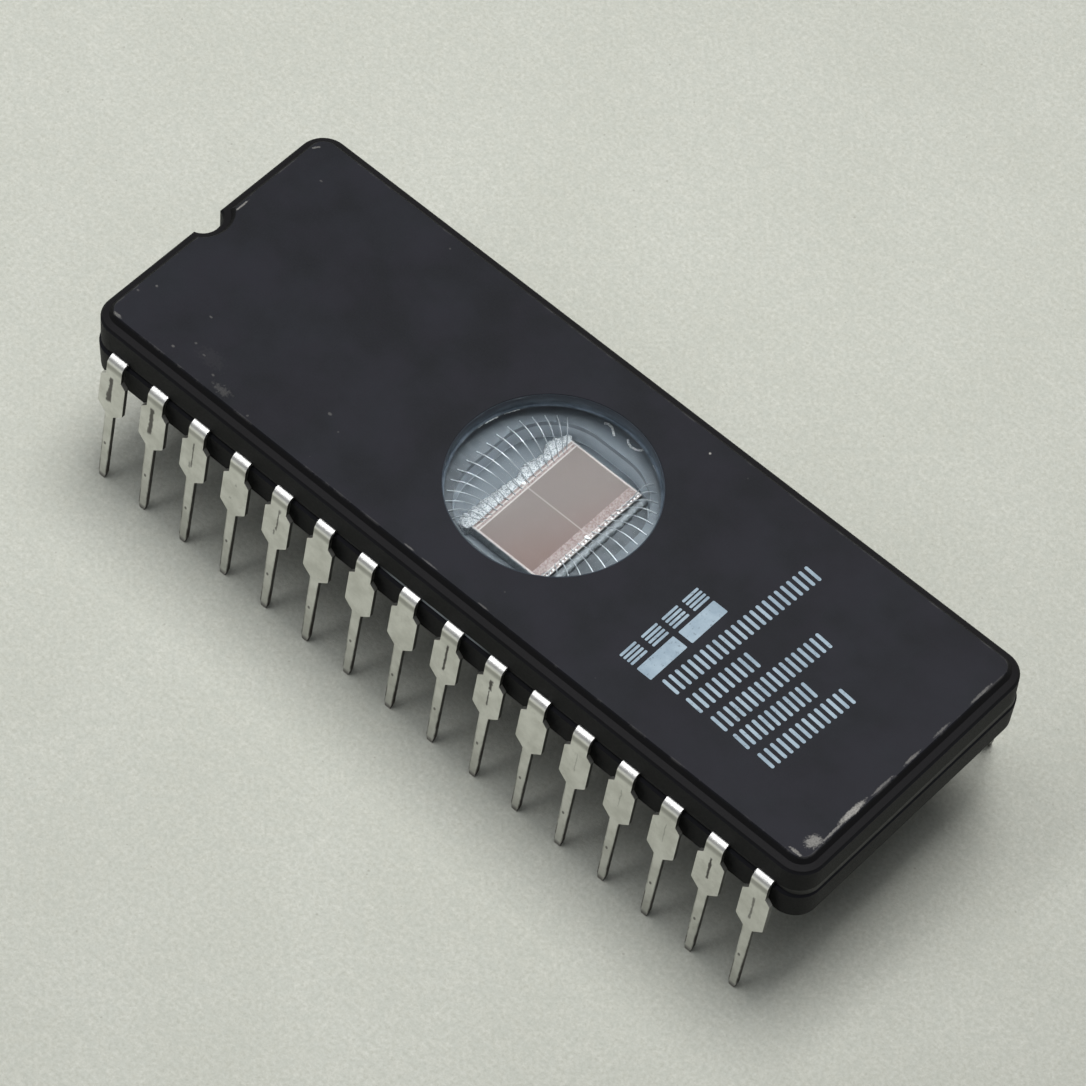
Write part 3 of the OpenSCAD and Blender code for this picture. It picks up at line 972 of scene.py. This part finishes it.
class FleckFinish(Finish):
    """Bright metal flecks and bond pads under the window."""

    name = "bright_fleck"
    dark, light = srgb(176, 180, 184), srgb(248, 248, 248)

    def fill(self) -> None:
        """Builds the uneven bright metal."""
        g = self.g
        lumps = g.noise(self.place, 12.0, 3.0, 0.7)
        self.set(Base_Color=g.mix(g.ramp(lumps, 0.35, 0.6), self.dark, self.light), Metallic=0.25)
        self.set(Roughness=g.ramp(lumps, 0.3, 0.7, 0.3, 0.5))
        self.bump(lumps, 0.4, 0.01)


class InkFinish(Finish):
    """Pale blue-white stamping ink, thinner in places."""

    name = "pale_ink"
    thin_tone, dark, light = srgb(108, 122, 134), srgb(138, 159, 175), srgb(164, 184, 198)

    def fill(self) -> None:
        """Builds the uneven ink."""
        g = self.g
        fine, mottle = self.grain(7.0, 0.9)
        full = g.ramp(g.noise(self.place, 5.0, 4.0, 0.7), 0.3, 0.42)
        self.set(Base_Color=g.mix(full, self.thin_tone, g.mix(mottle, self.dark, self.light)))
        self.set(Roughness=g.spread(fine, 0.5, 0.7))
        self.bump(fine, 0.3, 0.01)


class PaperFinish(Finish):
    """Pale grey paper with faint fibres and dust, and painted shade where light falls off."""

    name = "pale_paper"
    dark, light = srgb(215, 217, 208), srgb(222, 224, 216)
    fibres, lumps = srgb(178, 180, 168), srgb(190, 195, 187)
    # The second colour is painted shade where light falls off across the paper.
    dust_tone, fall_tone = srgb(138, 134, 122), srgb(110, 110, 100)

    def fill(self) -> None:
        """Builds the paper's speckle and painted shade where light falls off, along +X and to both sides."""
        g = self.g
        x, y, _ = self.axes()
        fine, mottle = self.grain(5.0, 0.12)
        tone = g.tint(g.mix(mottle, self.dark, self.light), self.fibres, fine, 0.8)
        tone = g.tint(tone, self.lumps, g.ramp(g.noise(self.place, 1.6, 3.0, 0.6), 0.35, 0.65), 0.3)
        dust = self.effects.specks.use(g, Place=self.place, Scale=1.3, Size=0.06, Share=0.3)
        tone = g.tint(tone, self.dust_tone, dust.outputs["Mask"], 0.35)
        # Painted shade: the paper darkens along +X and to both sides, as light falls off.
        fall = g.most(g.ramp(x, -10.0, 45.0, 0.0, 0.21), g.ramp(y, -6.0, -40.0, 0.0, 0.1),
                      g.ramp(y, 15.0, 45.0, 0.0, 0.06))
        self.set(Base_Color=g.mix(fall, tone, self.fall_tone), Roughness=g.spread(fine, 0.75, 0.9))
        self.bump(fine, 0.4, 0.05)


class Finishes:
    """Every finish of the scene, by the record's slot where it has one."""

    far_leads = range(17, 33)

    def __init__(self) -> None:
        """Builds the shared effects and all finishes."""
        effects = Effects()
        self.by_slot: dict[Slot, bpy.types.Material] = {
            Slot.CERAMIC: CeramicFinish(effects).material,
            Slot.TIN: TinFinish(effects).material,
            Slot.SEAL: SealFinish(effects).material,
            Slot.WINDOW: WindowFinish(effects).material,
            Slot.SILICON: SiliconFinish(effects).material,
            Slot.SILVER: SilverFinish(effects).material,
            Slot.WIRE: WireFinish(effects).material,
            Slot.FILM: FilmFinish(effects).material,
        }
        far_tin = PlainTinFinish(effects).material
        self.by_node = {f"lead_{number:02d}": far_tin for number in self.far_leads}
        self.by_node["ceramic_base"] = BareCeramicFinish(effects).material
        self.rim = FusedRimFinish(effects).material
        self.fleck = FleckFinish(effects).material
        self.ink = InkFinish(effects).material
        self.paper = PaperFinish(effects).material


class MeshPiece:
    """A mesh that is added to the frame, built in millimetres."""

    def __init__(self, name: str) -> None:
        """Starts an empty mesh."""
        self.name = name
        self.bm = bmesh.new()

    def vertex(self, x: float, y: float, z: float) -> bmesh.types.BMVert:
        """Adds a vertex."""
        return self.bm.verts.new((x * MM, y * MM, z * MM))

    def slab(self, outline: Sequence[Point2], low: float, high: float) -> None:
        """Adds a flat slab.

        Args:
            outline: Corners in order.
            low: Underside height.
            high: Top height.
        """
        rings = [[self.vertex(px, py, pz) for px, py in outline] for pz in (low, high)]
        self.walls(rings[0], rings[1])
        self.bm.faces.new(list(reversed(rings[0])))
        self.bm.faces.new(rings[1])

    def walls(self, low: Sequence[bmesh.types.BMVert], high: Sequence[bmesh.types.BMVert],
              material: int = 0) -> None:
        """Joins two closed rings of vertices with a band of faces.

        Args:
            low: First ring.
            high: Second ring, with as many vertices, or a single one.
            material: Number of the band's material.
        """
        count = max(len(low), len(high))
        for k in range(count):
            n = (k + 1) % count
            corners_of_face = [low[k % len(low)], low[n % len(low)], high[n % len(high)], high[k % len(high)]]
            face = self.bm.faces.new(list(dict.fromkeys(corners_of_face)))
            face.material_index = material

    def turned(self, profile: Sequence[tuple[float, float, int]], count: int) -> None:
        """Turns a profile round the Z axis.

        Args:
            profile: Radius, height and material number of the band after it, from one end on the axis
                to the other.
            count: Steps round the axis.
        """
        rings = []
        for radius, height, _ in profile:
            angles = [math.tau * k / count for k in range(count if radius > 0.0 else 1)]
            rings.append([self.vertex(radius * math.cos(a), radius * math.sin(a), height) for a in angles])
        for ring, after, (_, _, material) in zip(rings, rings[1:], profile):
            self.walls(ring, after, material)

    def finish(self, *materials: bpy.types.Material, slot: Slot | None = None, smooth: bool = False,
               replaces: str | None = None) -> bpy.types.Object:
        """Makes the object, dresses it and lets it ride on the body.

        Args:
            *materials: Its materials, in the order of their numbers.
            slot: The record's slot it belongs to, if any. Not used.
            smooth: Whether it is shaded smooth.
            replaces: Node that it takes the place of, if any.

        Returns:
            The new object.
        """
        bmesh.ops.recalc_face_normals(self.bm, faces=self.bm.faces)
        mesh = bpy.data.meshes.new(self.name)
        self.bm.to_mesh(mesh)
        self.bm.free()
        for polygon in mesh.polygons:
            polygon.use_smooth = smooth
        obj = bpy.data.objects.new(self.name, mesh)
        bpy.context.scene.collection.objects.link(obj)
        for material in materials:
            mesh.materials.append(material)
        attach(obj, ROOT_BODY)
        if replaces is not None:
            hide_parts(replaces)
        log.info("%s: %d faces", self.name, len(mesh.polygons))
        return obj


def rounded_bar(x: float, y: float, along: float, across: float, corner: float) -> list[Point2]:
    """Gives the outline of a bar with rounded corners.

    Args:
        x: Centre along the body.
        y: Centre across the body.
        along: Length along X.
        across: Length along Y.
        corner: Corner radius.

    Returns:
        The corner points, counter-clockwise.
    """
    points = []
    for cx, cy, start in ((1, 1, 0), (-1, 1, 90), (-1, -1, 180), (1, -1, 270)):
        middle = (x + cx * (along / 2 - corner), y + cy * (across / 2 - corner))
        for k in range(4):
            a = math.radians(start + 30 * k)
            points.append((middle[0] + corner * math.cos(a), middle[1] + corner * math.sin(a)))
    return points


def stroke(points: Sequence[Point2], half: float) -> list[Point2]:
    """Gives the outline of a thin line through some points.

    Args:
        points: Middle line.
        half: Half of the line's width.

    Returns:
        The corner points, once round the line.
    """
    left, right = [], []
    for k, (x, y) in enumerate(points):
        ahead = points[min(k + 1, len(points) - 1)]
        behind = points[max(k - 1, 0)]
        along = Vector((ahead[0] - behind[0], ahead[1] - behind[1])).normalized()
        left.append((x - along.y * half, y + along.x * half))
        right.append((x + along.y * half, y - along.x * half))
    return left + right[::-1]


def push_at(place: Vector) -> Vector:
    """Gives a smooth push in three directions, the same in every run.

    Blender's own vector noise starts anew in each run, so each part is plain noise from a place of its own.

    Args:
        place: Place in noise space.

    Returns:
        The push, with parts from about -1 to 1.
    """
    starts = ((9.3, -1.5, -7.9), (0.0, 0.0, 0.0), (6.3, 11.1, -3.7))
    return Vector([noise.noise(place + Vector(start)) for start in starts])


@dataclass(frozen=True)
class Softening:
    """How the edges of a solid are rounded: width in millimetres, steps, and the least angle in degrees."""
    width: float
    steps: int
    angle: float


@dataclass
class CarriedSolids:
    """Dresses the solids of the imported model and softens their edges."""
    slots: dict[str, Slot] = field(default_factory=lambda: {
        "ceramic_base": Slot.CERAMIC, "ceramic_cap": Slot.CERAMIC, "window_lens": Slot.WINDOW,
        "seal_glass": Slot.SEAL, "cavity_film": Slot.FILM, "die_attach": Slot.SILVER, "die": Slot.SILICON,
        "bond_wires_notch_end": Slot.WIRE, "bond_wires_plain_end": Slot.WIRE,
    })
    softened: dict[Slot, Softening] = field(default_factory=lambda: {
        Slot.CERAMIC: Softening(0.08, 3, 22.0), Slot.TIN: Softening(0.045, 3, 50.0),
    })

    def dress(self, finishes: Finishes) -> None:
        """Gives each node its finish and its softened edges.

        Args:
            finishes: The finishes to choose from.
        """
        for name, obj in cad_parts.items():
            slot = self.slots.get(name, Slot.TIN)
            obj.data.materials.clear()
            obj.data.materials.append(finishes.by_node.get(name, finishes.by_slot[slot]))
            if slot in self.softened:
                softening = self.softened[slot]
                bevel = obj.modifiers.new("softened_edges", "BEVEL")
                bevel.width = softening.width * MM
                bevel.segments = softening.steps
                bevel.limit_method = "ANGLE"
                bevel.angle_limit = math.radians(softening.angle)
                bevel.use_clamp_overlap = True
            log.info("%s dressed as %s", name, slot.value)


@dataclass(frozen=True)
class MarkRow:
    """One row of printed strokes: where it starts and ends, and how many pairs of strokes it has."""
    start: Point2
    end: Point2
    count: int


@dataclass
class TopMarking:
    """Plain strokes and striped fields in the place of the printed area."""
    top: float = BODY_TOP
    ink: float = 0.012
    tall: float = 0.96
    wide: float = 0.17
    stroke_corner: float = 0.08
    block_corner: float = 0.05
    rows: tuple[MarkRow, ...] = (
        MarkRow((10.62, -4.45), (11.15, 4.6), 12), MarkRow((11.96, -4.45), (12.22, -0.6), 5),
        MarkRow((13.32, -4.4), (13.76, 2.3), 9), MarkRow((14.58, -4.4), (14.97, -0.05), 6),
        MarkRow((15.96, -4.4), (16.33, 0.85), 7),
    )
    blocks: tuple[tuple[float, float, float, float], ...] = (
        (8.98, -4.6, 0.82, 2.35), (9.0, -1.95, 0.82, 2.3),
    )
    stripe_starts: tuple[Point2, ...] = ((7.98, -4.6), (8.0, -3.25), (8.02, -1.95), (8.04, -0.65))
    stripes: int = 4
    stripe_step: float = 0.21
    stripe: Point2 = (0.13, 1.0)

    def build(self, finishes: Finishes) -> bpy.types.Object:
        """Builds the fields and the rows of strokes.

        Args:
            finishes: The finishes to choose from.

        Returns:
            The marking's object.
        """
        piece = MeshPiece("top_marking")
        striped = [(x + self.stripe_step * k, y, *self.stripe)
                   for x, y in self.stripe_starts for k in range(self.stripes)]
        for x, y, along, across in (*self.blocks, *striped):
            bar = rounded_bar(x + along / 2, y + across / 2, along, across, self.block_corner)
            piece.slab(bar, self.top, self.top + self.ink)
        for row in self.rows:
            start, end = Vector(row.start), Vector(row.end)
            step = (end - start) / row.count
            turn = math.atan2(step.x, step.y)
            for k in range(row.count):
                self.pair(piece, start + step * (k + 0.5), step.length, turn)
        return piece.finish(finishes.ink)

    def pair(self, piece: MeshPiece, middle: Vector, room: float, turn: float) -> None:
        """Builds two upright strokes side by side.

        Args:
            piece: The mesh to add to.
            middle: Middle of the pair.
            room: Length of the row that the pair takes up.
            turn: Angle of the row from the Y axis.
        """
        cos, sin = math.cos(turn), math.sin(turn)
        for across in (-room / 4, room / 4):
            outline = rounded_bar(0.0, across, self.tall, self.wide, self.stroke_corner)
            turned = [(middle.x + px * cos + py * sin, middle.y - px * sin + py * cos) for px, py in outline]
            piece.slab(turned, self.top, self.top + self.ink)


@dataclass
class FusedWindow:
    """The glass window, melted into its hole, with bright flecks under its rim."""
    radius: float = 4.875
    low: float = 8.35
    high: float = BODY_TOP
    edge: float = 0.04
    chamfer: float = 0.03
    rim: float = 0.14
    steps: int = 128
    fleck_arcs: tuple[tuple[float, float, float], ...] = (
        (150.0, 159.0, 0.05), (163.0, 171.0, 0.07), (173.0, 176.0, 0.05), (60.0, 64.0, 0.04),
    )

    def build(self, finishes: Finishes) -> None:
        """Builds the window and the flecks.

        Args:
            finishes: The finishes to choose from.
        """
        r, low, high = self.radius, self.low, self.high
        lens = MeshPiece("fused_window")
        lens.turned([(0.0, high, 0), (r - self.edge, high, 1), (r, high - self.chamfer, 1),
                     (r, low + self.chamfer, 1), (r - self.edge, low, 1), (r - self.rim, low, 0),
                     (0.0, low, 0)], self.steps)
        lens.finish(finishes.by_slot[Slot.WINDOW], finishes.rim, slot=Slot.WINDOW, replaces="window_lens")
        flecks = MeshPiece("rim_flecks")
        for first, last, half in self.fleck_arcs:
            steps = max(3, int(last - first))
            line = []
            for k in range(steps + 1):
                angle = math.radians(first + (last - first) * k / steps)
                reach = r - 0.1 + 0.05 * noise.noise(Vector((first, k * 0.9, 0.0)))
                line.append((reach * math.cos(angle), reach * math.sin(angle)))
            flecks.slab(stroke(line, half), low - 0.05, low - 0.02)
        flecks.finish(finishes.fleck)


@dataclass
class ChipDetails:
    """Silver-filled glass welled up round the chip, its bond pads, and two thin bright strips on the shelf.
    """
    chip: ChipSizes = ChipSizes()
    spacing: float = 0.05
    turn_steps: int = 8
    lumps: tuple[Point2, ...] = (
        (-3.5, 0.36), (-3.05, 0.57), (-2.7, 0.63), (-2.3, 0.49), (-1.75, 0.48), (-1.2, 0.49), (-0.75, 0.41),
        (-0.35, 0.36), (0.05, 0.33), (0.3, 0.35), (0.55, 0.47), (1.05, 0.48), (1.45, 0.33), (1.85, 0.34),
        (2.15, 0.49), (2.45, 0.61), (2.8, 0.52), (3.15, 0.34), (3.5, 0.3),
    )
    section: tuple[Point2, ...] = (
        (1.0, 0.0), (1.0, 0.45), (0.92, 0.8), (0.72, 1.0), (0.35, 1.06), (0.0, 1.0),
    )
    stray: tuple[tuple[Point2, ...], ...] = (
        ((-1.2, 4.75), (-1.05, 4.85), (-0.8, 4.83), (-0.6, 4.69), (-0.43, 4.55)),
        ((0.13, 4.85), (0.27, 4.71), (0.5, 4.63), (0.75, 4.67), (0.93, 4.79), (0.99, 4.91)),
    )
    stray_half: float = 0.05
    stray_thick: float = 0.04
    shelf: float = 7.745
    notch_lap: float = 0.14
    notch_rise: float = 0.06
    plain_width: float = 0.34
    side_width: float = 0.06
    below_top: float = 0.02
    push: float = 0.05
    pads: int = 30
    pad_size: float = 0.09
    pad_play: float = 0.03
    pad_corner: float = 0.03
    pad_margin: float = 0.18
    pad_inset: float = 0.09
    pad_thick: float = 0.012
    drops: tuple[tuple[float, float, float, float, float], ...] = (
        (1.9, -0.16, 0.17, 0.19, 0.08), (-2.0, 0.05, 0.14, 0.17, 0.06),
    )
    drop_thick: float = 0.03

    def perimeter(self) -> list[tuple[float, float, float, float]]:
        """Walks once round the chip.

        Returns:
            Stations along the chip's edge: place and outward direction.
        """
        (cx, cy), (hx, hy) = self.chip.centre, self.chip.half
        stations = []
        sides = ((hx, -hy, 0.0), (hx, hy, 90.0), (-hx, hy, 180.0), (-hx, -hy, 270.0))
        for corner_x, corner_y, first in sides:
            way = math.radians(first)
            long = hy if first % 180.0 == 0.0 else hx
            count = int(2 * long / self.spacing)
            steps = [(2 * long * k / count, way) for k in range(count)]
            steps += [(2 * long, way + math.radians(90.0) * k / self.turn_steps)
                      for k in range(self.turn_steps)]
            for run, out in steps:
                x, y = cx + corner_x - math.sin(way) * run, cy + corner_y + math.cos(way) * run
                stations.append((x, y, math.cos(out), math.sin(out)))
        return stations

    def width_at(self, mid_y: float) -> float:
        """Gives the width of the notch-side lumps at a place along the chip.

        Args:
            mid_y: Distance from the chip's middle across the body.

        Returns:
            The width.
        """
        for (y0, w0), (y1, w1) in zip(self.lumps, self.lumps[1:]):
            if y0 <= mid_y <= y1:
                return w0 + (w1 - w0) * (mid_y - y0) / (y1 - y0)
        return self.lumps[0][1]

    def ring_at(self, layer: MeshPiece, x: float, y: float, nx: float, ny: float) -> list[bmesh.types.BMVert]:
        """Adds one cross-section of the welled-up layer.

        Args:
            layer: The mesh to add to.
            x: Place of the chip's edge along the body.
            y: Place of the chip's edge across the body.
            nx: Outward direction along the body.
            ny: Outward direction across the body.

        Returns:
            The section's vertices, from the foot inwards.
        """
        notch_side, plain_side = max(0.0, -nx), max(0.0, nx)
        sides = max(0.0, 1.0 - notch_side - plain_side)
        notch_width = self.width_at(y - self.chip.centre[1]) + self.notch_lap
        width = notch_side * notch_width + plain_side * self.plain_width + sides * self.side_width
        width *= 1.0 + 0.2 * noise.noise(Vector((x * 6.0, y * 6.0, 1.0)))
        low = self.chip.foot
        rise = self.chip.top - low - self.below_top + self.notch_rise * notch_side
        rise *= 1.0 - 0.5 * plain_side
        ring = []
        for out, up in self.section:
            reach = out * width - (self.notch_rise * notch_side if out == 0.0 else 0.0)
            px, py, pz = x + nx * reach, y + ny * reach, low + up * rise
            shake = self.push * min(1.0, out * 3.0) * (1.0 - plain_side * 0.6) * min(1.0, width * 4.0)
            push = push_at(Vector((px, py, pz)) * 7.0) * shake
            ring.append(layer.vertex(px + push.x, py + push.y, max(low, pz + push.z)))
        return ring

    def build_layer(self, finishes: Finishes) -> None:
        """Builds the silver-filled layer with its raised fillet.

        Args:
            finishes: The finishes to choose from.
        """
        layer = MeshPiece("welled_attach")
        bands = list(zip(*[self.ring_at(layer, *station) for station in self.perimeter()]))
        for lower, upper in zip(bands, bands[1:]):
            layer.walls(lower, upper)
        layer.finish(finishes.by_slot[Slot.SILVER], slot=Slot.SILVER, replaces="die_attach")

    def build_pads(self, finishes: Finishes) -> None:
        """Builds the row of pads at the plain side and the two larger drops of metal.

        Args:
            finishes: The finishes to choose from.
        """
        (cx, cy), (hx, hy), top = self.chip.centre, self.chip.half, self.chip.top
        pads = MeshPiece("bond_pads")
        for k in range(self.pads):
            y = cy - hy + self.pad_margin + k * (2 * hy - 2 * self.pad_margin) / (self.pads - 1)
            size = self.pad_size + self.pad_play * noise.noise(Vector((k * 1.7, 0.0, 0.0)))
            if k % 7 != 4:
                bar = rounded_bar(cx + hx - self.pad_inset, y, size, size, self.pad_corner)
                pads.slab(bar, top, top + self.pad_thick)
        for x, y, along, across, corner in self.drops:
            pads.slab(rounded_bar(cx + x, cy + y, along, across, corner), top, top + self.drop_thick)
        pads.finish(finishes.fleck)

    def build(self, finishes: Finishes) -> None:
        """Builds the welled-up layer, the pads and the bright strips on the shelf.

        Args:
            finishes: The finishes to choose from.
        """
        self.build_layer(finishes)
        self.build_pads(finishes)
        stray = MeshPiece("stray_metal")
        for line in self.stray:
            stray.slab(stroke(line, self.stray_half), self.shelf, self.shelf + self.stray_thick)
        stray.finish(finishes.fleck)


@dataclass(frozen=True)
class Lamp:
    """A soft lamp: direction in degrees, distance and sides in millimetres, power in watts, and colour."""
    name: str
    azimuth: float
    elevation: float
    away: float
    size: Point2
    power: float
    colour: Colour


@dataclass
class Studio:
    """Floor, light and camera."""
    camera_at: Point3 = (86.835, -112.878, 210.258)
    right: Point3 = (0.73713, 0.67330, 0.05747)
    up: Point3 = (-0.57909, 0.58558, 0.56723)
    back: Point3 = (0.34826, -0.45140, 0.82155)
    lens: float = 187.7
    sensor: float = 36.0
    floor: float = 1200.0
    floor_gap: float = 0.02
    surround: Colour = (0.96, 0.98, 1.0)
    surround_strength: float = 0.14
    lamps: tuple[Lamp, ...] = (
        Lamp("soft_key", 102.0, 72.0, 560.0, (250.0, 250.0), 1.78, (1.0, 0.985, 0.96)),
        Lamp("overhead", 100.0, 85.0, 600.0, (400.0, 400.0), 0.98, (0.98, 0.99, 1.0)),
        Lamp("bend_strip", 226.0, 58.0, 500.0, (90.0, 480.0), 0.52, (1.0, 1.0, 1.0)),
    )

    def build_floor(self, finishes: Finishes) -> None:
        """Lays the paper.

        Args:
            finishes: The finishes to choose from.
        """
        mesh = bpy.data.meshes.new("paper")
        half = self.floor / 2 * MM
        sheet = [(-half, -half, 0), (half, -half, 0), (half, half, 0), (-half, half, 0)]
        mesh.from_pydata(sheet, [], [(0, 1, 2, 3)])
        mesh.materials.append(finishes.paper)
        obj = bpy.data.objects.new("paper", mesh)
        obj.location.z = -self.floor_gap * MM
        bpy.context.scene.collection.objects.link(obj)

    def hang(self, lamp: Lamp) -> None:
        """Hangs a soft oblong lamp that faces the chip, with its long side along the body's Y axis.

        Args:
            lamp: The lamp's place, size and power.
        """
        light = bpy.data.lights.new(lamp.name, "AREA")
        light.shape = "RECTANGLE"
        light.size, light.size_y = lamp.size[0] * MM, lamp.size[1] * MM
        light.energy, light.color = lamp.power, lamp.colour
        obj = bpy.data.objects.new(lamp.name, light)
        a, e = math.radians(lamp.azimuth), math.radians(lamp.elevation)
        way = Vector((math.cos(a) * math.cos(e), math.sin(a) * math.cos(e), math.sin(e)))
        side = Vector((0.0, 1.0, 0.0)).cross(way).normalized()
        turn = Matrix((side, way.cross(side), way)).transposed().to_4x4()
        obj.matrix_world = Matrix.Translation(way * lamp.away * MM) @ turn
        bpy.context.scene.collection.objects.link(obj)

    def build_light(self) -> None:
        """Sets a pale surround and the soft lamps."""
        world = bpy.data.worlds.new("surround")
        bpy.context.scene.world = world
        world.use_nodes = True
        background = world.node_tree.nodes["Background"]
        background.inputs["Color"].default_value = (*self.surround, 1.0)
        background.inputs["Strength"].default_value = self.surround_strength
        for lamp in self.lamps:
            self.hang(lamp)

    def build_camera(self) -> None:
        """Places the camera where the photograph was taken from."""
        data = bpy.data.cameras.new("camera")
        data.lens, data.sensor_width = self.lens, self.sensor
        data.clip_start, data.clip_end = 0.01, 10.0
        obj = bpy.data.objects.new("camera", data)
        axes = Matrix((self.right, self.up, self.back)).transposed().to_4x4()
        obj.matrix_world = Matrix.Translation(Vector(self.camera_at) * MM) @ axes
        bpy.context.scene.collection.objects.link(obj)
        bpy.context.scene.camera = obj


def main() -> None:
    """Builds the scene in order and notes its size."""
    logging.basicConfig(level=logging.INFO, format="%(name)s: %(message)s")
    scene = bpy.context.scene
    scene.view_settings.view_transform = "Standard"
    studio = Studio()
    studio.build_camera()
    finishes = Finishes()
    CarriedSolids().dress(finishes)
    FusedWindow().build(finishes)
    ChipDetails().build(finishes)
    TopMarking().build(finishes)
    studio.build_floor(finishes)
    studio.build_light()


if __name__ == "__main__":
    main()
